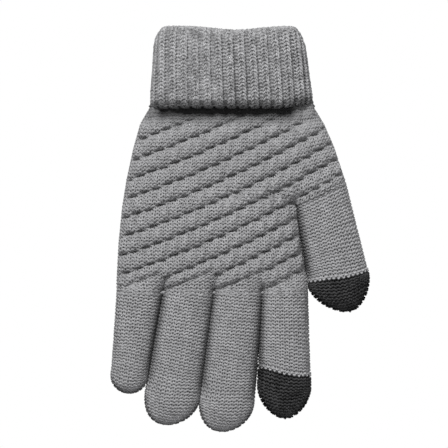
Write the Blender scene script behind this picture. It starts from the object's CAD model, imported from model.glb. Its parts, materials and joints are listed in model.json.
import json
import math

import bmesh
import bpy
import numpy as np
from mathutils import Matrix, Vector


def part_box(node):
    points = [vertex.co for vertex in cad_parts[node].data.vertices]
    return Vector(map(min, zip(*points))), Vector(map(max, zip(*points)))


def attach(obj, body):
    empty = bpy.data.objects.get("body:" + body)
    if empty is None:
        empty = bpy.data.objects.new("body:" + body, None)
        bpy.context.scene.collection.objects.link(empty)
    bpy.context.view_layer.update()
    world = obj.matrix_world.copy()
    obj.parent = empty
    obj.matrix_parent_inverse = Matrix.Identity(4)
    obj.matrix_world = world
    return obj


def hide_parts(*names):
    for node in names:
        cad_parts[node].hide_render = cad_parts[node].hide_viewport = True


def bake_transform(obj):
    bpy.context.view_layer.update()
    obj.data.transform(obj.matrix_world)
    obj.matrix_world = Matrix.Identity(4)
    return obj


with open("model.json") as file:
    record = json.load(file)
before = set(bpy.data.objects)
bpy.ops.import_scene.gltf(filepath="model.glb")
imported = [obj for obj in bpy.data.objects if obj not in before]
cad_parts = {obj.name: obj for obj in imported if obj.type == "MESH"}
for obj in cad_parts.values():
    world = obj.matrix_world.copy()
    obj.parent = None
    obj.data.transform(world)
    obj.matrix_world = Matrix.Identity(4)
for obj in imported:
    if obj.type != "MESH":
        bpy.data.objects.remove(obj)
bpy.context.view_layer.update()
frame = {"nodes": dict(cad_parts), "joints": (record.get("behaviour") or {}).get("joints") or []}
JOINTS = {joint["name"]: joint for joint in frame["joints"]}

# A knitted glove, hanging from its cuff. Everything is in metres in the CAD frame: +Z runs up the
# arm, +X is the thumb side, +Y the palm. Each knitted piece is a guide surface with a lay map,
# u across the wales and v along the courses, that yarn is knitted onto, and a cloth wall behind it.

FINGERS = ("little", "ring", "middle", "index")
MM = 0.001
SQUARENESS = 2.6
FINGER_SQUARENESS = 2.25

# Gauge of the knitting
COURSE = 1.75 * MM
WALE = 2.45 * MM
CUFF_COURSE = 1.85 * MM
CUFF_RIBS = 30
MARGIN_COURSES = 2
YARN_R = 0.57 * MM
CUFF_YARN_R = 0.60 * MM
YARN_SIDES = 5
# Cloth wall behind the yarn: how far under the guide surface it is sunk, and its thickness
WALL_SINK = 0.8 * MM
DIGIT_WALL_SINK = 0.55 * MM
CAP_WALL_SINK = 0.35 * MM
WALL = 1.1 * MM
WALL_STEP = 2

# Hand outline: height, left edge, right edge of the hand tube, and depth of the back and the palm
HAND_ROWS = np.array([
    [-38.0, -39.8, 32.0, 6.0, 6.4],
    [-43.0, -40.9, 32.0, 6.2, 7.0],
    [-51.0, -45.6, 32.2, 8.6, 8.4],
    [-63.4, -49.1, 32.8, 9.8, 9.0],
    [-80.0, -52.7, 33.8, 9.9, 9.0],
    [-93.6, -54.9, 34.7, 9.9, 9.0],
    [-112.0, -56.8, 36.7, 9.6, 9.0],
    [-130.0, -57.8, 39.8, 9.0, 8.8],
    [-140.0, -58.3, 40.6, 8.6, 8.6],
]) * MM
# Outer edge on the thumb side, down to where the thumb leaves the hand
THUMB_SIDE = np.array([[-38.0, 42.7], [-43.0, 43.9], [-51.0, 48.8], [-63.4, 54.2], [-80.1, 59.6],
                       [-92.5, 62.8], [-100.0, 64.8]]) * MM
FORK_Z = JOINTS["middle_knuckle"]["pos_m"][2]
FORKS = [-34.2 * MM, -7.8 * MM, 17.2 * MM]
CROTCH = np.array([35.2, -93.6]) * MM
THUMB_LINE = (CROTCH, np.array([60.2, -80.1]) * MM)

# Diagonal ripple on the back of the hand: curved bands of tufts, with slots along the valleys.
# TUFT_SHIFT sets the tufts of a band off against those of the next.
RIPPLE_PITCH = 9.5 * MM
RIPPLE_SLOPE = 0.33
RIPPLE_CURVE = 1.15
RIPPLE_START = (-52.8 * MM, -89.8 * MM)
RIPPLE_RISE = 2.1 * MM
SLOT_STEP = 6.1 * MM
SLOT_DEPTH = 2.2 * MM
SLOT_SHADE = 0.43
SLOT_HALF_LENGTH = 2.45 * MM
SLOT_HALF_HEIGHT = 0.8 * MM
TUFT_SHIFT = 0.37
VALLEY_SHADE = 0.11
CREASE_SHADE = 0.6
CREASE_DEPTH = 1.1 * MM


# ---- node trees

class Field:
    """An output socket of a node that can stand in a sum."""

    def __init__(self, tree, socket):
        self.tree = tree
        self.socket = socket

    def maths(self, operation, *others):
        values = {0: self}
        values.update({place + 1: other for place, other in enumerate(others)})
        return self.tree.add("ShaderNodeMath", {"operation": operation}, values)

    def __add__(self, other):
        return self.maths("ADD", other)

    __radd__ = __add__

    def __mul__(self, other):
        return self.maths("MULTIPLY", other)

    __rmul__ = __mul__

    def __sub__(self, other):
        return self.maths("SUBTRACT", other)

    def __rsub__(self, other):
        return self.maths("MULTIPLY_ADD", -1.0, other)

    def __truediv__(self, other):
        return self.maths("DIVIDE", other)

    def __mod__(self, other):
        return self.maths("MODULO", other)


class Tree:
    """Adds nodes to a node tree, with their settings and inputs given by name or place."""

    def __init__(self, tree):
        self.nodes = tree.nodes
        self.links = tree.links

    def add(self, kind, settings=None, values=None, out=0):
        node = self.nodes.new(kind)
        for name, value in (settings or {}).items():
            setattr(node, name, value)
        for name, value in (values or {}).items():
            if isinstance(value, Field):
                self.links.new(value.socket, node.inputs[name])
            else:
                node.inputs[name].default_value = value
        if out is None:
            return node
        return Field(self, node.outputs[out])


# ---- yarn

# Shade in the groove between two ribs, and how far the yarn's twist moves on from row to row
GROOVE_SHADE = 0.24
ROW_TWIST = 0.37

KNIT_INPUTS = {
    "Wales": ("NodeSocketInt", 20),
    "Courses": ("NodeSocketFloat", 20.0),
    "First Course": ("NodeSocketFloat", 0.0),
    "Rows": ("NodeSocketInt", 10),
    "Samples": ("NodeSocketInt", 8),
    "Margin": ("NodeSocketFloat", float(MARGIN_COURSES)),
    "Yarn Radius": ("NodeSocketFloat", YARN_R),
    "Sides": ("NodeSocketInt", YARN_SIDES),
    "Loop Width": ("NodeSocketFloat", 0.22),
    "Loop Height": ("NodeSocketFloat", 0.68),
    "Relief": ("NodeSocketFloat", 0.35 * MM),
    "Rib": ("NodeSocketFloat", 0.0),
    "Rib Share": ("NodeSocketFloat", 0.0),
    "Rib Depth": ("NodeSocketFloat", 0.0),
    "Wander": ("NodeSocketFloat", 0.36),
    "Lift": ("NodeSocketFloat", 0.0),
    "Seed": ("NodeSocketFloat", 0.0),
    "Yarn": ("NodeSocketMaterial", None),
}


def knitting_tree():
    """Rows of yarn loops laid over a guide surface by its lay map."""
    group = bpy.data.node_groups.new("knitted_rows", "GeometryNodeTree")
    face = group.interface
    face.new_socket("Geometry", in_out="INPUT", socket_type="NodeSocketGeometry")
    for name, (kind, value) in KNIT_INPUTS.items():
        socket = face.new_socket(name, in_out="INPUT", socket_type=kind)
        if value is not None:
            socket.default_value = value
    face.new_socket("Geometry", in_out="OUTPUT", socket_type="NodeSocketGeometry")
    t = Tree(group)
    given = t.add("NodeGroupInput", out=None)
    put = {name: Field(t, given.outputs[name]) for name in ["Geometry", *KNIT_INPUTS]}

    row_points = put["Wales"] * put["Samples"] + 1.0
    line = t.add("GeometryNodeMeshLine", {"mode": "OFFSET"},
                 {"Count": row_points * put["Rows"], "Offset": (0.0, 0.0, MM)})
    index = t.add("GeometryNodeInputIndex")
    row = (index / row_points).maths("FLOOR")
    stitch = (index - row * row_points) / put["Samples"]
    turn = stitch * math.tau
    rib_wave = (stitch * math.pi).maths("COSINE")
    lean = (turn * 2.0).maths("SINE")
    bow = (turn * 2.0).maths("COSINE")
    course = row + put["First Course"] + 0.5

    # every stitch strays a little across, along and in height
    seat = t.add("ShaderNodeCombineXYZ", None,
                 {"X": stitch * 0.9, "Y": course * 0.8, "Z": put["Seed"]})
    cloud = t.add("ShaderNodeTexNoise", {"noise_dimensions": "3D"},
                  {"Vector": seat, "Scale": 1.0, "Detail": 1.0}, out="Color")
    parts = t.add("ShaderNodeSeparateXYZ", None, {"Vector": cloud}, out=None)
    stray = [(Field(t, parts.outputs[k]) - 0.5) * put["Wander"] for k in range(3)]

    side = 1.0 - put["Rib"] - rib_wave * put["Rib"]
    rib_pull = (stitch * math.pi).maths("SINE") * put["Rib Share"]
    across = stitch + lean * put["Loop Width"] + rib_pull
    along = course + turn.maths("COSINE") * put["Loop Height"] + stray[1] * 1.6
    u = ((across + stray[0]) / put["Wales"]).maths("MAXIMUM", 0.0).maths("MINIMUM", 1.0)
    v = (along + put["Margin"]) / (put["Courses"] + put["Margin"] * 2.0)
    v = v.maths("MAXIMUM", 0.0).maths("MINIMUM", 1.0)
    lay = t.add("ShaderNodeCombineXYZ", None, {"X": u, "Y": v})

    def named(kind, name):
        return t.add("GeometryNodeInputNamedAttribute", {"data_type": kind}, {"Name": name})

    def sampled(kind, value):
        node = t.add("GeometryNodeSampleUVSurface", {"data_type": kind}, out=None)
        enabled = {s.name: s for s in node.inputs if s.enabled}
        t.links.new(put["Geometry"].socket, enabled["Mesh"])
        t.links.new(value.socket, enabled["Value"])
        t.links.new(named("FLOAT_VECTOR", "lay").socket, enabled["UV Map"])
        t.links.new(lay.socket, enabled["Sample UV"])
        return Field(t, next(s for s in node.outputs if s.enabled and s.name == "Value"))

    swell = sampled("FLOAT", named("FLOAT", "swell"))
    height = (put["Lift"] + bow * side * put["Relief"] * (swell * 0.7 + 0.3)
              + rib_wave * put["Rib Depth"] * swell + stray[2] * put["Relief"] * 2.0)
    place = sampled("FLOAT_VECTOR", t.add("GeometryNodeInputPosition"))
    outward = sampled("FLOAT_VECTOR", named("FLOAT_VECTOR", "outward"))
    hollow = (sampled("FLOAT", named("FLOAT", "hollow"))
              + (rib_wave * -GROOVE_SHADE).maths("MAXIMUM", 0.0) * put["Rib"])
    push = t.add("ShaderNodeVectorMath", {"operation": "SCALE"},
                 {"Vector": outward, "Scale": height})
    spot = t.add("ShaderNodeVectorMath", {"operation": "ADD"}, {0: place, 1: push})
    laid = t.add("GeometryNodeSetPosition", None, {"Geometry": line, "Position": spot})
    laid = store(t, laid, "hollow", hollow)
    laid = store(t, laid, "run", stitch + row * ROW_TWIST)
    turn_end = t.add("FunctionNodeCompare", {"data_type": "FLOAT", "operation": "GREATER_THAN"},
                     {0: index % row_points, 1: row_points - 1.5})
    laid = t.add("GeometryNodeDeleteGeometry", {"domain": "EDGE"},
                 {"Geometry": laid, "Selection": turn_end})
    path = t.add("GeometryNodeMeshToCurve", None, {"Mesh": laid})
    profile = t.add("GeometryNodeCurvePrimitiveCircle", {"mode": "RADIUS"},
                    {"Resolution": put["Sides"], "Radius": put["Yarn Radius"]}, out="Curve")
    angle = t.add("GeometryNodeInputIndex") * (math.tau / YARN_SIDES)
    profile = store(t, profile, "ply_x", angle.maths("COSINE"))
    profile = store(t, profile, "ply_y", angle.maths("SINE"))
    tube = t.add("GeometryNodeCurveToMesh", None,
                 {"Curve": path, "Profile Curve": profile, "Fill Caps": True})
    tube = t.add("GeometryNodeSetShadeSmooth", None, {"Geometry": tube})
    tube = t.add("GeometryNodeRealizeInstances", None, {"Geometry": tube})
    tube = t.add("GeometryNodeSetMaterial", None, {"Geometry": tube, "Material": put["Yarn"]})
    t.add("NodeGroupOutput", None, {"Geometry": tube}, out=None)
    return group


def store(t, geometry, name, value):
    node = t.add("GeometryNodeStoreNamedAttribute", {"data_type": "FLOAT", "domain": "POINT"},
                 {"Geometry": geometry, "Name": name}, out=None)
    socket = next(s for s in node.inputs if s.enabled and s.name == "Value")
    t.links.new(value.socket, socket)
    return Field(t, node.outputs[0])


# ---- materials

def material(name):
    made = bpy.data.materials.new(name)
    made.use_nodes = True
    made.node_tree.nodes.clear()
    return made, Tree(made.node_tree)


def finish_material(t, values):
    shader = t.add("ShaderNodeBsdfPrincipled", None, values)
    t.add("ShaderNodeOutputMaterial", None, {"Surface": shader}, out=None)


def attribute(t, name):
    return t.add("ShaderNodeAttribute", {"attribute_name": name}, out="Fac")


def mixed(t, factor, low, high):
    node = t.add("ShaderNodeMix", {"data_type": "RGBA"}, {"Factor": factor}, out=None)
    sockets = {s.name: s for s in node.inputs if s.enabled}
    for name, value in (("A", low), ("B", high)):
        if isinstance(value, Field):
            t.links.new(value.socket, sockets[name])
        else:
            sockets[name].default_value = value
    return Field(t, next(s for s in node.outputs if s.enabled))


def grey(level):
    return (level, level, level * 1.02, 1.0)


def noise(t, place, scale, detail, roughness):
    values = {"Vector": place, "Scale": scale, "Detail": detail, "Roughness": roughness}
    return t.add("ShaderNodeTexNoise", None, values, out="Fac")


# Noise scales of the flecks of fibre, the paler and darker patches and the single fibres
FLECKS = 1150.0
PATCHES = 210.0
FIBRES = 3800.0
# Twist of the yarn in radians a stitch, and how deep and how dark its hollows go
TWIST = 9.0
HOLLOW_DEPTH = 0.98
HOLLOW_TONE = 0.12


def spun_yarn(name, dark, light, marl=0.5, sheen=0.06, gloss=0.12):
    """Soft spun yarn: two tones of fibre mixed along it, a twisted surface and dark hollows."""
    made, t = material(name)
    place = t.add("ShaderNodeTexCoord", out="Object")
    fleck = noise(t, place, FLECKS, 3.0, 0.65)
    patch = noise(t, place, PATCHES, 2.0, 0.5)
    tone = ((fleck - 0.5) * (marl * 3.2) + (patch - 0.5) * (marl * 1.2) + 0.5).maths("MINIMUM", 1.0)
    tone = tone.maths("MAXIMUM", 0.0)
    base = mixed(t, tone, grey(dark), grey(light))
    shade = (attribute(t, "hollow") * HOLLOW_DEPTH).maths("MINIMUM", 1.0)
    base = mixed(t, shade, base, grey(dark * HOLLOW_TONE))
    run = attribute(t, "run") * TWIST
    twist = run.maths("SINE") * attribute(t, "ply_x") + run.maths("COSINE") * attribute(t, "ply_y")
    fibre = noise(t, place, FIBRES, 2.0, 0.7)
    bump = t.add("ShaderNodeBump", None,
                 {"Strength": 0.6, "Distance": 0.00025, "Height": twist * 0.35 + fibre})
    finish_material(t, {
        "Base Color": base, "Roughness": 0.92, "Normal": bump, "Sheen Weight": sheen,
        "Sheen Roughness": 0.5, "Specular IOR Level": gloss})
    return made


def cloth_wall(name, dark, light):
    """The inside of the knitting, as a soft felted face with faint courses."""
    made, t = material(name)
    place = t.add("ShaderNodeTexCoord", out="Object")
    fleck = noise(t, place, 900.0, 3.0, 0.6)
    courses = t.add("ShaderNodeTexWave", {"bands_direction": "Z", "wave_type": "BANDS"},
                    {"Vector": place, "Scale": 0.315 / COURSE, "Distortion": 1.5}, out="Fac")
    tone = ((fleck - 0.5) * 1.8 + 0.5).maths("MAXIMUM", 0.0).maths("MINIMUM", 1.0)
    bump = t.add("ShaderNodeBump", None,
                 {"Strength": 0.5, "Distance": 0.0004, "Height": fleck + courses * 0.6})
    finish_material(t, {
        "Base Color": mixed(t, tone, grey(dark), grey(light)), "Roughness": 0.95, "Normal": bump,
        "Sheen Weight": light * 0.6, "Sheen Roughness": 0.5, "Specular IOR Level": light * 0.6})
    return made


KNITTING = knitting_tree()
GREY_YARN = spun_yarn("grey_yarn", 0.17, 0.475)
RIB_YARN = spun_yarn("grey_rib_yarn", 0.10, 0.50, marl=0.75)
DARK_YARN = spun_yarn("conductive_yarn", 0.002, 0.090, marl=0.6, sheen=0.015, gloss=0.08)
LIGHT_YARN = spun_yarn("joining_yarn", 0.24, 0.52)
THREAD = spun_yarn("covered_elastic", 0.5, 0.72)
GREY_WALL = cloth_wall("grey_inside", 0.23, 0.40)
DARK_WALL = cloth_wall("conductive_inside", 0.003, 0.010)


# ---- guide surfaces

def smooth(t):
    t = np.clip(t, 0.0, 1.0)
    return t * t * (3.0 - 2.0 * t)


def lobe(t, squareness=SQUARENESS):
    """Depth of a round-sided section across its width, t from -1 to 1."""
    return np.maximum(0.0, 1.0 - np.abs(t) ** squareness) ** (1.0 / squareness)


def rows_evenly(points, count):
    """Spreads each row of points evenly along its length."""
    rows = []
    for line in points:
        steps = np.linalg.norm(np.diff(line, axis=0), axis=1)
        run = np.concatenate([[0.0], np.cumsum(steps)])
        at = np.linspace(0.0, run[-1], count)
        rows.append(np.stack([np.interp(at, run, line[:, k]) for k in range(3)], axis=1))
    return np.array(rows)


def outward_of(grid):
    """Unit normals of a grid whose rows run down and columns to the right, as seen from outside."""
    along = np.gradient(grid, axis=0)
    across = np.gradient(grid, axis=1)
    normal = np.cross(along, across)
    length = np.linalg.norm(normal, axis=2, keepdims=True)
    return normal / np.maximum(length, 1e-12)


def guide_object(name, grid, outward, hollow, swell):
    """Guide surface with its lay map, outward direction, hollow marks and rib swell."""
    rows, cols = grid.shape[:2]
    index = np.arange(rows * cols).reshape(rows, cols)
    quads = np.stack([index[:-1, :-1], index[:-1, 1:], index[1:, 1:], index[1:, :-1]], axis=-1)
    quads = quads.reshape(-1, 4)
    mesh = bpy.data.meshes.new(name)
    mesh.from_pydata(grid.reshape(-1, 3).tolist(), [], quads.tolist())
    lay = np.stack(np.meshgrid(np.linspace(0, 1, cols), np.linspace(0, 1, rows)), axis=-1)
    layer = mesh.uv_layers.new(name="lay")
    layer.data.foreach_set("uv", lay.reshape(-1, 2)[quads.reshape(-1)].astype(np.float32).ravel())
    mesh.attributes.new("outward", "FLOAT_VECTOR", "POINT").data.foreach_set(
        "vector", outward.astype(np.float32).ravel())
    for mark, values in (("hollow", hollow), ("swell", swell)):
        mesh.attributes.new(mark, "FLOAT", "POINT").data.foreach_set(
            "value", values.astype(np.float32).ravel())
    obj = bpy.data.objects.new(name, mesh)
    bpy.context.scene.collection.objects.link(obj)
    return obj


class Guide:
    """One knitted surface: its points, outward directions, hollows and number of courses."""

    def __init__(self, grid, wales, courses, outward=None, hollow=None):
        self.grid = grid
        self.outward = outward_of(grid) if outward is None else outward
        self.hollow = np.zeros(grid.shape[:2]) if hollow is None else hollow
        self.swell = np.ones(grid.shape[:2])
        self.wales = wales
        self.courses = courses

    def row_of(self, course):
        """Grid row, as a number that may fall between rows, where a course lies."""
        share = (course + MARGIN_COURSES) / (self.courses + 2.0 * MARGIN_COURSES)
        return share * (len(self.grid) - 1)

    def knit(self, name, yarn, first=0, rows=None, **sizes):
        """Yarn for some of the rows, as a plain mesh."""
        rows = self.courses - first if rows is None else rows
        source = guide_object(name + "_guide", self.grid, self.outward, self.hollow, self.swell)
        modifier = source.modifiers.new("knit", "NODES")
        modifier.node_group = KNITTING
        values = {"Wales": self.wales, "Courses": float(self.courses), "First Course": float(first),
                  "Rows": int(rows), "Yarn": yarn, "Seed": float(sum(map(ord, name)) % 97)}
        values.update({key.replace("_", " ").title(): value for key, value in sizes.items()})
        for item in KNITTING.interface.items_tree:
            if item.in_out == "INPUT" and item.name in values:
                modifier[item.identifier] = values[item.name]
        source.update_tag()
        graph = bpy.context.evaluated_depsgraph_get()
        mesh = bpy.data.meshes.new_from_object(source.evaluated_get(graph), depsgraph=graph)
        mesh.name = name
        source.modifiers.clear()
        bpy.data.objects.remove(source)
        piece = bpy.data.objects.new(name, mesh)
        bpy.context.scene.collection.objects.link(piece)
        return piece

    def wall(self, name, finish, first=None, last=None, sink=WALL_SINK, thick=WALL):
        """Closed cloth wall behind the yarn, between two courses."""
        start = 0 if first is None else int(round(self.row_of(first)))
        end = len(self.grid) - 1 if last is None else int(round(self.row_of(last)))
        edge = self.grid.shape[1] - 1
        picks = np.ix_(np.append(np.arange(start, end, WALL_STEP), end),
                       np.append(np.arange(0, edge, WALL_STEP), edge))
        grid, normal = self.grid[picks], self.outward[picks]
        outer = grid - normal * sink
        inner = grid - normal * (sink + thick)
        return shell(name, outer, inner, finish)


def shell(name, outer, inner, finish):
    """Closed solid between two grids of the same size, with rims all round and doubles merged."""
    rows, cols = outer.shape[:2]
    index = np.arange(rows * cols).reshape(rows, cols)
    under = index + rows * cols

    def quads(a, b, c, d):
        return np.stack([a, b, c, d], axis=-1).reshape(-1, 4)

    def rim(line_a, line_b):
        return quads(line_a[:-1], line_b[:-1], line_b[1:], line_a[1:])

    faces = np.concatenate([
        quads(index[:-1, :-1], index[:-1, 1:], index[1:, 1:], index[1:, :-1]),
        quads(under[:-1, :-1], under[1:, :-1], under[1:, 1:], under[:-1, 1:]),
        rim(index[0], under[0]), rim(under[-1], index[-1]),
        rim(under[:, 0], index[:, 0]), rim(index[:, -1], under[:, -1])])
    mesh = bpy.data.meshes.new(name)
    points = np.concatenate([outer.reshape(-1, 3), inner.reshape(-1, 3)])
    mesh.from_pydata(points.tolist(), [], faces.tolist())
    return clean_piece(name, mesh, finish)


def clean_piece(name, mesh, finish):
    """Merges doubles, drops inner rims and empty faces, and points the faces outwards."""
    work = bmesh.new()
    work.from_mesh(mesh)
    bmesh.ops.remove_doubles(work, verts=work.verts, dist=2e-6)
    bmesh.ops.dissolve_degenerate(work, dist=1e-7, edges=work.edges)
    seen = {}
    for face in work.faces:
        seen.setdefault(tuple(sorted(v.index for v in face.verts)), []).append(face)
    twins = [face for faces in seen.values() if len(faces) > 1 for face in faces]
    bmesh.ops.delete(work, geom=twins, context="FACES_ONLY")
    bmesh.ops.recalc_face_normals(work, faces=work.faces)
    for face in work.faces:
        face.smooth = True
    work.to_mesh(mesh)
    work.free()
    mesh.materials.append(finish)
    piece = bpy.data.objects.new(name, mesh)
    bpy.context.scene.collection.objects.link(piece)
    return piece


def unit(vectors):
    return vectors / np.linalg.norm(vectors, axis=-1, keepdims=True)


def cords(name, paths, finish, radius=0.45 * MM, sides=6):
    """Closed loops of yarn along closed paths, as one piece."""
    points, faces = [], []
    angles = np.arange(sides) * math.tau / sides
    cos, sin = np.cos(angles)[None, :, None], np.sin(angles)[None, :, None]
    aside = np.array([0.0, 20.0 * MM, 0.0])
    for path in paths:
        count = len(path)
        along = unit(np.roll(path, -1, axis=0) - np.roll(path, 1, axis=0))
        first = unit(np.cross(along, path.mean(axis=0) + aside - path))
        second = np.cross(along, first)
        ring = path[:, None] + radius * (cos * first[:, None] + sin * second[:, None])
        index = len(points) + np.arange(count * sides).reshape(count, sides)
        on, over = np.roll(index, -1, axis=0), np.roll(index, -1, axis=1)
        quads = np.stack([index, over, np.roll(on, -1, axis=1), on], axis=-1)
        faces += quads.reshape(-1, 4).tolist()
        points += ring.reshape(-1, 3).tolist()
    mesh = bpy.data.meshes.new(name)
    mesh.from_pydata(points, [], faces)
    return clean_piece(name, mesh, finish)


# ---- fingers and thumb

RING_STEP = 0.8 * MM
RING_POINTS = 240
TIP_RINGS = 26
ROW_SWAY = 0.7 * MM
TIP_SHADE = 0.85


def ring_shape(points, squareness):
    """Round-sided ring, from the middle of the palm and round: its share across and in depth."""
    angles = np.linspace(0.0, math.tau, points)
    cos, sin = np.cos(angles), np.sin(angles)
    side = -np.sign(sin) * np.abs(sin) ** (2.0 / squareness)
    rise = np.sign(cos) * np.abs(cos) ** (2.0 / squareness)
    return side, rise


class Digit:
    """A finger or the thumb: its leaning frame, its widths and where it bends."""

    def __init__(self, name, root, tip, widths, depth, length, round_tip, swing, taper, shaded):
        """Widths at the root and near the tip, shade on the left and on the right.

        Swing moves the tip sideways, and a taper of 1 makes it more pointed than a taper of 0.
        """
        self.name = name
        self.root = np.array([root[0], 0.0, root[2]])
        self.down = unit(np.array([tip[0] - root[0], 0.0, tip[2] - root[2]]))
        self.across = np.array([-self.down[2], 0.0, self.down[0]])
        self.widths = widths
        self.depth = depth
        self.length = length
        self.round_tip = round_tip
        self.swing = swing
        self.taper = taper
        self.shaded = shaded

    def at(self, across, deep, down):
        """Point of the digit's frame in the shared frame."""
        point = (self.root + np.multiply.outer(across, self.across)
                 + np.multiply.outer(down, self.down))
        point[..., 1] = deep
        return point

    def half_width(self, down):
        share = np.clip(down / (0.75 * self.length), -0.2, 1.0)
        return (self.widths[0] + (self.widths[1] - self.widths[0]) * share) / 2.0

    def profile(self, x, z):
        """Half depth over the point (x, z) of the middle plane, as a share of the full depth."""
        across = (x - self.root[0]) * self.across[0] + (z - self.root[2]) * self.across[2]
        down = (x - self.root[0]) * self.down[0] + (z - self.root[2]) * self.down[2]
        return lobe(across / self.half_width(down), FINGER_SQUARENESS)

    def grid(self, top, row_slant):
        """Rings from the top, which may slant, to the tip, spread evenly round."""
        turn = self.length - self.round_tip
        straight = np.arange(0.0, turn, RING_STEP)
        ends = turn + self.round_tip * np.sin(np.linspace(0.0, math.pi / 2, TIP_RINGS))
        # the ring starts and ends on the palm side, where its seam doesn't show
        side, rise = ring_shape(RING_POINTS, FINGER_SQUARENESS)
        power, root = 2.1 - 0.4 * self.taper, 0.5 + 0.1 * self.taper
        rings = []
        for down in np.concatenate([straight, ends]):
            q = np.clip((down - turn) / self.round_tip, 0.0, 1.0)
            start = top(side * self.half_width(down))
            here = np.full(RING_POINTS, down)
            if down < turn:
                here = start + (down / turn) * (turn - start)
            fade = smooth(1.0 - abs(down - turn) / turn) * (1.0 - q)
            sway = np.sin(2.6 * side + down / (6.0 * MM)) * (down > 0.0)
            here = here + fade * (row_slant * side * self.half_width(down) + ROW_SWAY * sway)
            here = here - 0.8 * self.round_tip * q * (1.0 - q) * side ** 2
            q = np.clip((here - turn) / self.round_tip, 0.0, 1.0)
            shrink = (1.0 - q ** power) ** root
            rings.append(self.at(side * self.half_width(here) * shrink + self.swing * q * q,
                                 rise * self.depth * shrink, here))
        return rows_evenly(np.array(rings), 112)

    def shade(self, grid):
        """Shade in the creases beside the neighbours, left and right, and round the tip."""
        from_root = grid - self.root
        across, down = from_root @ self.across, from_root @ self.down
        share = across / self.half_width(down)
        depth = np.where(share < 0.0, self.shaded[0], self.shaded[1])
        fade = smooth((self.length - 0.9 * self.round_tip - down) / (12.0 * MM))
        crease = depth * fade * smooth((np.abs(share) - 0.68) / 0.32)
        edge_on = smooth((0.8 - np.abs(outward_of(grid)[..., 1])) / 0.5)
        end = TIP_SHADE * edge_on * smooth((down - self.length + self.round_tip) / (7.0 * MM))
        return np.maximum(crease, end)

    def spread(self, grid):
        """Spaces the rings evenly along the digit. Returns the grid and its number of courses."""
        steps = np.linalg.norm(np.diff(grid[:, grid.shape[1] // 2], axis=0), axis=1)
        run = np.concatenate([[0.0], np.cumsum(steps)])
        at = np.linspace(0.0, run[-1], int(round(run[-1] / RING_STEP)))
        low = np.clip(np.searchsorted(run, at) - 1, 0, len(run) - 2)
        share = ((at - run[low]) / (run[low + 1] - run[low]))[:, None, None]
        grid = grid[low] * (1.0 - share) + grid[low + 1] * share
        return grid, int(round(run[-1] / COURSE)) - 2 * MARGIN_COURSES


def finger(name, widths, length, round_tip, shaded, swing=0.0, taper=0.0, nudge=0.0):
    knuckle, bend = JOINTS[name + "_knuckle"]["pos_m"], JOINTS[name + "_middle_bend"]["pos_m"]
    knuckle, bend = [(place[0] + nudge * MM, place[1], place[2]) for place in (knuckle, bend)]
    return Digit(name, knuckle, bend, [w * MM for w in widths], 8.5 * MM, length * MM,
                 round_tip * MM, swing * MM, taper, shaded)


DIGITS = {
    "little": finger("little", (23.0, 18.4), 52.8, 9, (0.0, 0.75), nudge=0.5),
    "ring": finger("ring", (26.2, 27.8), 69.9, 16, (0.75, 0.75), swing=-2.4),
    "middle": finger("middle", (25.4, 27.6), 72.9, 16, (0.75, 0.75), swing=-2.0),
    "index": finger("index", (23.4, 26.4), 65.4, 16, (0.8, 0.15), swing=0.5, taper=0.8,
                    nudge=-0.2),
}
# The thumb's grid starts this far above its root joint, inside the side of the hand
THUMB_DROP = 12.0 * MM


def thumb():
    root, bend = [np.array(JOINTS[name]["pos_m"]) for name in ("thumb_root_bend", "thumb_end_bend")]
    return Digit("thumb", root - unit(bend - root) * THUMB_DROP, bend, [27.8 * MM, 31.0 * MM],
                 9.0 * MM, 59.6 * MM, 17.0 * MM, 2.5 * MM, 1.0, (0.9, 0.0))


DIGITS["thumb"] = thumb()


# ---- hand

def column(z, which):
    """Value of one column of HAND_ROWS at height z."""
    return np.interp(-z, -HAND_ROWS[:, 0], HAND_ROWS[:, which])


def thumb_side(z):
    return np.interp(-z, -THUMB_SIDE[:, 0], THUMB_SIDE[:, 1])


def thumb_line(x):
    """Height of the edge where the hand ends and the thumb begins."""
    (x0, z0), (x1, z1) = THUMB_LINE
    return np.where(x < x0, z0, z0 + (x - x0) * (z1 - z0) / (x1 - x0))


def span(x, low, high):
    return lobe((2.0 * x - low - high) / (high - low))


def fullness(x, z):
    """Depth of the hand over (x, z), from 0 at its outline to 1, with the forks pressed in."""
    own = span(x, column(z, 1), column(z, 2))
    whole = span(x, column(z, 1), thumb_side(z))
    split = np.where(x < column(z, 2), own, DIGITS["thumb"].profile(x, z))
    part = smooth(1.0 - (z - thumb_line(x)) / (13.0 * MM))
    upper = whole + (split - whole) * part
    depth = np.where((z < CROTCH[1]) & (x <= column(z, 2) + 1e-9), own, upper)
    fingers = np.max([DIGITS[name].profile(x, z) for name in FINGERS], axis=0)
    part = smooth(1.0 - (z - FORK_Z) / (11.0 * MM))
    return depth + (fingers - depth) * part


def hand_points(x, z, side):
    """Points of the back (side -1) or the palm (side 1) over (x, z)."""
    deep = column(z, 3 if side < 0 else 4) * fullness(x, z)
    return np.stack([x, side * deep, z], axis=-1)


def start_line(x):
    """Height where a finger's plain knitting begins, and the distance from the fork on its left."""
    edges = np.array([column(FORK_Z, 1), *FORKS])
    left = edges[np.clip(np.searchsorted(edges, x, side="right") - 1, 0, 3)]
    return FORK_Z + 0.8 * MM + 0.40 * (x - left), x - left


def ripple_line(x):
    """Height of the first valley of the ripple."""
    reach = x - RIPPLE_START[0]
    return RIPPLE_START[1] + RIPPLE_SLOPE * reach + RIPPLE_CURVE * reach ** 2


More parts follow.
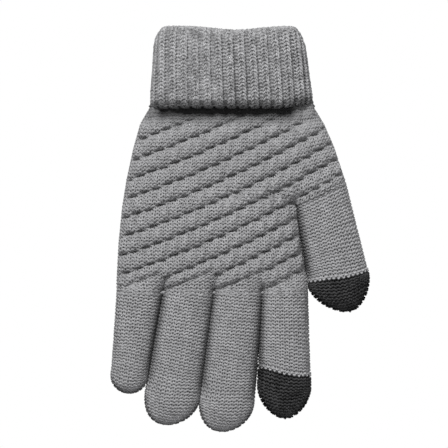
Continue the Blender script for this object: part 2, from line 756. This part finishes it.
def slots(x, z, phase):
    """How deep (x, z) is in one of the slots that follow the valleys, from 0 to 1."""
    nearest = np.round(phase)
    shift = nearest * TUFT_SHIFT
    step = np.floor((x - RIPPLE_START[0]) / SLOT_STEP + shift)
    uneven = np.sin(step * 2.3 + nearest * 4.1)
    middle = RIPPLE_START[0] + (step + 0.5 - shift) * SLOT_STEP
    beside = x - middle
    above = z - ripple_line(middle) - nearest * RIPPLE_PITCH - (0.15 + 0.08 * uneven) * beside
    above = above - 0.35 * MM * uneven + 22.0 * beside ** 2
    far = (beside / SLOT_HALF_LENGTH) ** 4 + (above / SLOT_HALF_HEIGHT) ** 4
    return np.exp(-far) * (0.85 + 0.15 * uneven)


def ripple(x, z):
    """Ripple over (x, z): where it is kept, its rise, its slots, finger creases and valleys."""
    phase = (z - ripple_line(x)) / RIPPLE_PITCH
    band = phase - np.floor(phase)
    tuft = (x - RIPPLE_START[0]) / SLOT_STEP + np.floor(phase) * TUFT_SHIFT
    rise = np.sin(math.pi * band ** 0.8) ** 1.15 * RIPPLE_RISE
    rise = rise * (0.72 - 0.28 * np.cos(math.tau * tuft))
    start, beyond = start_line(x)
    keep = smooth((z - start) / (3.0 * MM)) * smooth((-44.0 * MM - z) / (12.0 * MM))
    crease = np.exp(-((z - start) / (0.7 * MM)) ** 2) * smooth(1.25 - beyond / (20.0 * MM))
    crease = crease * smooth(beyond / (1.5 * MM))
    valley = VALLEY_SHADE * (1.0 - rise / RIPPLE_RISE) ** 2
    return keep, rise, slots(x, z, phase), crease, valley


def gathers(x, z):
    """Small upright folds where the cuff draws the hand in."""
    fade = smooth((z + 60.0 * MM) / (14.0 * MM))
    return 0.55 * MM * fade * np.sin(x / (1.55 * MM) + 2.0 * np.sin(x / (7.0 * MM)))


def under_hem(x, z):
    """Shade close under the turned-up cuff, weaker at its two open ends."""
    broad = 0.06 * smooth((z + 96.0 * MM) / (30.0 * MM))
    thumb_end = 0.7 * smooth((x - 30.0 * MM) / (9.0 * MM))
    other_end = 0.5 * smooth((-34.0 * MM - x) / (6.0 * MM))
    return broad + (1.0 - thumb_end - other_end) * smooth((z + 54.0 * MM) / (9.5 * MM))


def worked(grid, side):
    """Adds the ripple and the gathers to a hand surface. Returns grid, outward, hollow."""
    outward = outward_of(grid)
    x, z = grid[..., 0], grid[..., 2]
    flat = smooth((np.abs(outward[..., 1]) - 0.38) / 0.5)
    lift = gathers(x, z) * flat
    hollow = np.zeros_like(x)
    if side < 0:
        keep, rise, slot, crease, valley = ripple(x, z)
        keep = keep * flat
        lift = lift + keep * (rise - SLOT_DEPTH * slot) - crease * flat * CREASE_DEPTH
        hollow = keep * (SLOT_SHADE * slot + valley) + CREASE_SHADE * crease * flat
        for fork in FORKS:
            near = ((x - fork) ** 2 + (z - FORK_Z - 0.3 * MM) ** 2) / (2.0 * MM) ** 2
            hollow = hollow + 0.9 * np.exp(-near)
    hollow = np.clip(hollow + under_hem(x, z), 0.0, 1.0)
    return grid + outward * lift[..., None], outward, hollow


def hand_guide(side, cols=300, rows=200):
    """Back or palm of the hand, from under the cuff to the forks."""
    top = HAND_ROWS[0, 0]
    low = FORK_Z - 0.9 * MM - MARGIN_COURSES * COURSE
    lines = []
    for z in np.linspace(top, low, rows):
        flat = (1.0 - np.cos(np.linspace(0.0, math.pi, 700))) / 2.0
        x = column(z, 1) + flat * (column(z, 2) - column(z, 1))
        at = np.full_like(x, z)
        line = hand_points(x, at, side)
        lines.append(line if side < 0 else line[::-1])
    grid = rows_evenly(lines, cols)
    grid, outward, hollow = worked(grid, side)
    return Guide(grid, 42, int(round((top - low) / COURSE)) - 2 * MARGIN_COURSES, outward, hollow)


def gusset_guide(cols=240, rows=110):
    """Side of the hand that widens to the thumb, from the back round its edge to the palm."""
    lines = []
    top, low = -41.0 * MM, (CROTCH[1] - 3.0 * MM, THUMB_LINE[1][1] - 4.5 * MM)
    for share in np.linspace(0.0, 1.0, rows):
        left_z = top + (low[0] - top) * share
        right_z = top + (low[1] - top) * share
        ends = column(max(left_z, CROTCH[1]), 2), thumb_side(right_z)
        across = np.sin(np.linspace(0.0, math.pi / 2, 300))
        x = ends[0] + across * (ends[1] - ends[0])
        z = left_z + across * (right_z - left_z)
        back, palm = hand_points(x, z, -1), hand_points(x, z, 1)
        lines.append(np.concatenate([back, palm[-2::-1]]))
    grid = rows_evenly(lines, cols)
    courses = int(round((top - (low[0] + low[1]) / 2.0) / COURSE)) - 2 * MARGIN_COURSES
    outward = outward_of(grid)
    x, z = grid[..., 0], grid[..., 2]
    flat = smooth((-outward[..., 1] - 0.38) / 0.5)
    keep, rise, slot, _, valley = ripple(x, z)
    keep = keep * flat * smooth((z - thumb_line(x)) / (2.5 * MM))
    lift = keep * (rise - SLOT_DEPTH * slot) + gathers(x, z) * flat
    hollow = np.clip(keep * (SLOT_SHADE * slot + valley) + under_hem(x, z), 0.0, 1.0)
    return Guide(grid + outward * lift[..., None], 24, courses, outward, hollow)


def wrist_guide(sides=300, rows=20):
    """Ring round the top of the hand, where it is linked to the rib."""
    t, rise = ring_shape(sides, SQUARENESS)
    lines = []
    for z in np.linspace(-36.1, -45.1, rows) * MM:
        low, high = column(z, 1), thumb_side(z)
        deep = np.where(rise > 0.0, column(z, 4), column(z, 3))
        lines.append(np.stack([(low + high + t * (high - low)) / 2.0, rise * deep,
                               np.full(sides, z)], axis=-1))
    return Guide(rows_evenly(lines, sides), 2 * CUFF_RIBS, 1, hollow=np.full((rows, sides), 0.6))


# ---- cuff

CUFF_LOW, CUFF_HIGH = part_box("cuff_turned_up_rib")
HEM_Z = CUFF_LOW.z
HEM_HALF = (CUFF_HIGH.x - CUFF_LOW.x) / 2.0 - 1.2 * MM
CUFF_HALF_DEPTH = (CUFF_HIGH.y - CUFF_LOW.y) / 2.0
TOP_HALF = 37.9 * MM
HEM_SHIFT = 1.2 * MM
HEM_CURL = 1.3 * MM
FOLD_R = 2.5 * MM
# How far the ribs stand out at the fold and the hem, and the shade inside the cuff and at its hem
FOLD_SWELL = 0.25
HEM_SWELL = 0.6
INSIDE_SHADE = 0.75
HEM_SHADE = 0.68
SCALLOP = 0.3 * MM


def cuff_top(t):
    """Height of the fold over the cuff's width, t from -1 to 1: two humps and round corners."""
    dip = 2.2 * MM * np.exp(-((t - 0.1) / 0.43) ** 2)
    corner = 4.5 * MM * (np.maximum(0.0, np.abs(t) - 0.84) / 0.16) ** 3
    return -0.9 * MM - dip - corner


def cuff_ring(share, inset, sides=420):
    """Ring of the cuff at a share of the way from its fold to its hem: points' x, y and t."""
    t, rise = ring_shape(sides, 2.4)
    belly = 1.2 * MM * math.sin(math.pi * min(1.0, share))
    half = TOP_HALF + (HEM_HALF - TOP_HALF) * share - 0.55 * inset
    deep = CUFF_HALF_DEPTH - 1.6 * MM + belly - inset
    return HEM_SHIFT * share + t * half, rise * deep, t


def cuff_stations(part):
    """Rings of the outer rib with its fold, of the bound-off edge, or of the inner rib."""
    if part == "outer":
        return ([("fold", turn) for turn in np.linspace(math.pi, 0.0, 12)]
                + [("down", share) for share in np.linspace(0.0, 1.0, 60)[1:]])
    if part == "edge":
        return [("curl", turn) for turn in np.linspace(-0.6, 2.9, 20)]
    return [("inside", share) for share in np.linspace(1.0, 0.0, 50)]


def cuff_station(kind, at):
    """Inset, drop, share of the way to the hem, rib swell, shade and scallop of a ring."""
    if kind == "fold":
        return FOLD_R * (1.0 - math.cos(at)), FOLD_R * math.sin(at), 0.0, FOLD_SWELL, 0.0, 0.0
    if kind == "curl":
        return (HEM_CURL * (1.0 - math.cos(at)), -HEM_CURL * math.sin(at), 1.0, HEM_SWELL,
                INSIDE_SHADE, 1.0)
    near_hem = smooth((at - 0.9) / 0.1)
    swell = FOLD_SWELL + (1.0 - FOLD_SWELL) * smooth(12.0 * at) - (1.0 - HEM_SWELL) * near_hem
    if kind == "inside":
        return 2.0 * FOLD_R, 0.0, at, swell, INSIDE_SHADE, 1.0
    return 0.0, 0.0, at, swell, HEM_SHADE * near_hem, smooth((at - 0.85) / 0.15)


def cuff_guide(part, sides=330):
    """Part of the cuff, with rows that run down as seen from its face."""
    lines, marks = [], []
    for kind, at in cuff_stations(part):
        inset, drop, share, *mark = cuff_station(kind, at)
        x, y, t = cuff_ring(share, inset)
        top = cuff_top(t) - FOLD_R
        hem = HEM_Z + 0.9 * MM + 2.0 * MM * smooth((x - 24.0 * MM) / (17.0 * MM))
        lines.append(np.stack([x, y, top + drop + (hem - top) * share], axis=-1))
        marks.append(mark)
    grid = rows_evenly(lines, sides)
    swells, shades, scallops = np.array(marks).T[:, :, None]
    grid[..., 2] -= SCALLOP * scallops * np.cos(np.linspace(0.0, math.tau * CUFF_RIBS, sides))
    run = np.linalg.norm(np.diff(grid[:, sides // 2], axis=0), axis=1).sum()
    margins = 0 if part == "edge" else 2 * MARGIN_COURSES
    guide = Guide(grid, 2 * CUFF_RIBS, int(round(run / CUFF_COURSE)) - margins)
    # the rib lies flatter on the little finger's side and opens in places
    x, z = grid[..., 0], grid[..., 2]
    relaxed = 0.62 + 0.28 * smooth((x + 18.0 * MM) / (26.0 * MM))
    relaxed = relaxed + 0.14 * np.sin(x / (6.1 * MM) + 1.0)
    relaxed = relaxed + 0.08 * np.sin(z / (5.0 * MM) + x / (9.0 * MM))
    guide.swell = swells * relaxed
    guide.hollow = np.repeat(shades, sides, axis=1)
    return guide


# ---- pieces

def dress(piece, slot, bodies, start=None, end=None, nodes=()):
    """Fixes a finished piece to its body, or across the joint between two bodies."""
    if isinstance(bodies, str):
        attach(piece, bodies)
    else:
        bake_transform(piece)
    if nodes:
        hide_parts(*nodes)
    return piece


RIB = {"rib": 1.0, "rib_share": 0.17, "rib_depth": 0.95 * MM, "relief": 0.5 * MM,
       "yarn_radius": CUFF_YARN_R, "loop_width": 0.40, "loop_height": 0.85, "samples": 12,
       "wander": 0.22}
HAND_KNIT = {"relief": 0.22 * MM, "loop_height": 0.74, "wander": 0.5}
FINGER_KNIT = {"relief": 0.29 * MM}
CAP_KNIT = {"relief": 0.6 * MM, "wander": 0.25}
JOINING_KNIT = {"relief": 0.55 * MM, "loop_width": 0.1, "loop_height": 0.35, "lift": 0.1 * MM,
                "yarn_radius": CUFF_YARN_R}
CUFF_WALL = {"sink": 0.9 * MM, "thick": 1.2 * MM}
EDGE_WALL = {"sink": 0.9 * MM, "thick": 0.5 * MM}
# Yarn, cloth, slot, sink of the cloth and stitch sizes for each stage of a digit
PLAIN_STAGE = (GREY_YARN, GREY_WALL, "grey_knit", DIGIT_WALL_SINK, FINGER_KNIT)
OTHER_STAGES = {"joining": (LIGHT_YARN, DARK_WALL, "joining_yarn", DIGIT_WALL_SINK, JOINING_KNIT),
                "cap": (DARK_YARN, DARK_WALL, "conductive_knit", CAP_WALL_SINK, CAP_KNIT)}
# Where the wrist's blend starts and ends
WRIST_START, WRIST_END = (0.001, 0.0, -0.0435), (0.001, 0.0, -0.058)


def make_cuff():
    outer, inner, edge = cuff_guide("outer"), cuff_guide("inner"), cuff_guide("edge")
    ribs = outer.knit("cuff_rib_outer", RIB_YARN, first=-1, rows=outer.courses + 3, **RIB)
    dress(ribs, "grey_rib", "cuff", nodes=("cuff_turned_up_rib", "cuff_fold"))
    ribs = inner.knit("cuff_rib_inner", RIB_YARN, first=8, rows=inner.courses - 7,
                      **{**RIB, "samples": 8})
    dress(ribs, "grey_rib", "cuff", nodes=("cuff_inner_rib",))
    ribs = edge.knit("cuff_bind_off", RIB_YARN, margin=0.0, **RIB)
    dress(ribs, "grey_rib", "cuff", nodes=("cuff_bind_off_edge",))
    dress(edge.wall("cuff_edge_cloth", GREY_WALL, **EDGE_WALL), "grey_rib", "cuff")
    dress(outer.wall("cuff_outer_cloth", GREY_WALL, **CUFF_WALL), "grey_rib", "cuff")
    dress(inner.wall("cuff_inner_cloth", GREY_WALL, **CUFF_WALL), "grey_rib", "cuff")


def dress_hand(piece, nodes=()):
    dress(piece, "grey_knit", ("cuff", "hand"), WRIST_START, WRIST_END, nodes)


def make_hand():
    for side, name in ((-1, "back"), (1, "palm")):
        guide = hand_guide(side)
        dress_hand(guide.knit("hand_" + name + "_knit", GREY_YARN, **HAND_KNIT),
                   ("hand_knit",) if side < 0 else ())
        dress_hand(guide.wall("hand_" + name + "_cloth", GREY_WALL))
    seam = wrist_guide().knit("wrist_seam", GREY_YARN, lift=0.3 * MM, yarn_radius=CUFF_YARN_R)
    dress(seam, "grey_knit", "cuff", nodes=("wrist_linking_seam",))
    turn = np.linspace(0.0, math.tau, 220, endpoint=False)
    darning = [np.stack([fork + 1.6 * MM * np.sin(9.0 * turn), -4.2 * MM * np.cos(turn),
                         FORK_Z - 0.4 * MM + 0.8 * MM * np.sin(turn)], axis=1) for fork in FORKS]
    dress(cords("fork_darning", darning, GREY_YARN), "grey_knit", "hand", nodes=("fork_webs",))
    guide = gusset_guide()
    dress_hand(guide.knit("thumb_gusset_knit", GREY_YARN, first=-2, **HAND_KNIT))
    dress_hand(guide.wall("thumb_gusset_cloth", GREY_WALL))


def trefoil(centre, size=0.42 * MM):
    """Closed path of a small knot."""
    turn = np.linspace(0.0, math.tau, 90, endpoint=False)
    return centre + size * np.stack([
        np.sin(turn) + 2.0 * np.sin(2.0 * turn), np.cos(turn) - 2.0 * np.cos(2.0 * turn),
        -np.sin(3.0 * turn)], axis=1)


def make_digit(digit, top, stages, slant=0.0):
    """A digit in stages: (name, parent, child, end, blend start, blend end, nodes)."""
    grid, courses = digit.spread(digit.grid(top, slant))
    ring = np.linalg.norm(np.diff(grid[len(grid) // 2], axis=0), axis=1).sum()
    guide = Guide(grid, int(round(ring / WALE)), courses)
    guide.outward[-1] = digit.down
    guide.hollow = digit.shade(grid)
    downs = (grid[:, grid.shape[1] // 2] - digit.root) @ digit.down

    def course_at(down):
        row = np.interp(down, downs, np.arange(len(downs)))
        return int(round(row / (len(downs) - 1) * (courses + 2 * MARGIN_COURSES) - MARGIN_COURSES))

    first = 0
    for name, parent, child, end, bend_from, bend_to, nodes in stages:
        last = courses + MARGIN_COURSES if end is None else course_at(end)
        label = digit.name + "_" + name
        yarn, cloth, slot, sink, sizes = OTHER_STAGES.get(name, PLAIN_STAGE)
        bodies = child if parent is None else (parent, child)
        places = [digit.root + digit.down * down for down in (bend_from, bend_to)]
        knitted = guide.knit(label + "_knit", yarn, first, last - first, **sizes)
        dress(knitted, slot, bodies, *places, nodes)
        wall = guide.wall(label + "_cloth", cloth, first if first else -MARGIN_COURSES,
                          None if end is None else last, sink=sink)
        dress(wall, slot, bodies, *places)
        first = last
    low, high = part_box(digit.name + "_closing_knot")
    knot = cords(digit.name + "_knot", [trefoil(np.array((low + high) / 2.0))], yarn)
    dress(knot, slot, child, nodes=(digit.name + "_closing_knot",))


def down_to(digit, joint):
    """How far down a digit a joint lies."""
    return digit.down @ (np.array(JOINTS[joint]["pos_m"]) - digit.root)


def make_fingers():
    for name in FINGERS:
        digit = DIGITS[name]
        base, middle, tip = name + "_base", name + "_middle", name + "_tip"
        bend, tip_bend = down_to(digit, name + "_middle_bend"), down_to(digit, name + "_tip_bend")
        stages = [("root", "hand", base, bend / 2.0, -4.0 * MM, 7.0 * MM, (name + "_base_sleeve",)),
                  ("middle", base, middle, (bend + tip_bend) / 2.0, bend - 8.0 * MM,
                   bend + 7.0 * MM, (name + "_middle_sleeve",))]
        if name == "index":
            seam = FORK_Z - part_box("index_joining_course")[1].z
            cap = FORK_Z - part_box("index_touch_tip")[1].z
            stages += [("end", middle, tip, seam, tip_bend - 8.0 * MM, tip_bend + 0.5 * MM, ()),
                       ("joining", None, tip, cap, 0.0, 0.0, ("index_joining_course",)),
                       ("cap", None, tip, None, 0.0, 0.0, ("index_touch_tip",))]
        else:
            stages.append(("tip", middle, tip, None, tip_bend - 7.0 * MM, tip_bend + 6.0 * MM,
                           (name + "_tip_sleeve",)))
        top = -1.2 * MM - MARGIN_COURSES * COURSE
        make_digit(digit, lambda across: np.full_like(across, top), stages,
                   0.16 if name == "index" else 0.0)


def make_thumb():
    digit = DIGITS["thumb"]
    bend = down_to(digit, "thumb_end_bend")
    cap = digit.length - 18.0 * MM
    stages = [
        ("root", "hand", "thumb_root", 4.0 * MM, -5.0 * MM, 3.5 * MM, ("thumb_root_sleeve",)),
        ("base", "thumb_root", "thumb_base", 22.0 * MM, 5.0 * MM, 19.0 * MM,
         ("thumb_base_sleeve",)),
        ("end", "thumb_base", "thumb_end", cap - 1.7 * MM, bend - 8.0 * MM, bend + 6.0 * MM,
         ("thumb_end_sleeve",)),
        ("joining", None, "thumb_end", cap, 0.0, 0.0, ("thumb_joining_course",)),
        ("cap", None, "thumb_end", None, 0.0, 0.0, ("thumb_touch_tip",)),
    ]
    top = -3.4 * MM - MARGIN_COURSES * COURSE
    make_digit(digit, lambda across: top - 0.294 * across, stages)


# ---- light, floor and camera

WORLD_LIGHT = 0.085
FLOOR_Z = -0.42
FLOOR_HALF = 0.42


def make_studio():
    """A white backdrop that lights little, four lamps and a floor."""
    scene = bpy.context.scene
    scene.view_settings.view_transform = "Standard"
    world = bpy.data.worlds.new("studio")
    scene.world = world
    world.use_nodes = True
    world.node_tree.nodes.clear()
    t = Tree(world.node_tree)
    seen = t.add("ShaderNodeLightPath", out="Is Camera Ray")
    dim, white = [t.add("ShaderNodeBackground", None,
                        {"Color": (1.0, 1.0, 1.0, 1.0), "Strength": strength})
                  for strength in (WORLD_LIGHT, 1.0)]
    both = t.add("ShaderNodeMixShader", None, {0: seen, 1: dim, 2: white})
    t.add("ShaderNodeOutputWorld", None, {"Surface": both}, out=None)

    def lamp(name, place, aim, size, power):
        light = bpy.data.lights.new(name, "AREA")
        light.shape = "DISK"
        light.size = size
        light.energy = power
        obj = bpy.data.objects.new(name, light)
        obj.location = place
        obj.rotation_euler = (Vector(aim) - Vector(place)).to_track_quat("-Z", "Y").to_euler()
        scene.collection.objects.link(obj)

    middle = (0.0, 0.0, -0.1)
    lamp("top_light", (-0.30, -0.80, 0.85), middle, 0.30, 19.0)
    lamp("front_light", (0.10, -1.25, 0.05), middle, 0.5, 4.0)
    lamp("back_light", (0.10, 1.20, 0.55), middle, 0.5, 19.0)
    lamp("side_light", (1.30, 0.25, 0.30), middle, 0.5, 5.0)

    floor_mesh = bpy.data.meshes.new("floor")
    corners = ((-1, -1), (1, -1), (1, 1), (-1, 1))
    floor_mesh.from_pydata([(x * FLOOR_HALF, y * FLOOR_HALF, FLOOR_Z) for x, y in corners], [],
                           [(0, 1, 2, 3)])
    made, t = material("plain_floor")
    place = t.add("ShaderNodeTexCoord", out="Object")
    grain = t.add("ShaderNodeTexNoise", None, {"Vector": place, "Scale": 60.0}, out="Fac")
    finish_material(t, {"Base Color": mixed(t, grain, grey(0.52), grey(0.56)), "Roughness": 0.7})
    floor_mesh.materials.append(made)
    floor = bpy.data.objects.new("floor", floor_mesh)
    scene.collection.objects.link(floor)


def make_camera():
    """A long lens, level with the middle of the glove, on its back."""
    distance, seen_width, centre = 1.2, 0.233, (-0.0026, -0.1029)
    camera = bpy.data.cameras.new("camera")
    camera.sensor_width = 36.0
    camera.lens = 36.0 * distance / seen_width
    camera.clip_start = 0.01
    obj = bpy.data.objects.new("camera", camera)
    obj.location = (centre[0], -distance, centre[1])
    obj.rotation_euler = (math.pi / 2.0, 0.0, 0.0)
    bpy.context.scene.collection.objects.link(obj)
    bpy.context.scene.camera = obj


make_camera()
make_studio()
make_cuff()
make_hand()
make_fingers()
make_thumb()
# the CAD nodes that stay in sight are plain cloth, apart from the elastic
for node_name, cad_object in frame["nodes"].items():
    cad_object.data.materials.clear()
    cad_object.data.materials.append(THREAD if node_name == "cuff_elastic_threads" else GREY_WALL)
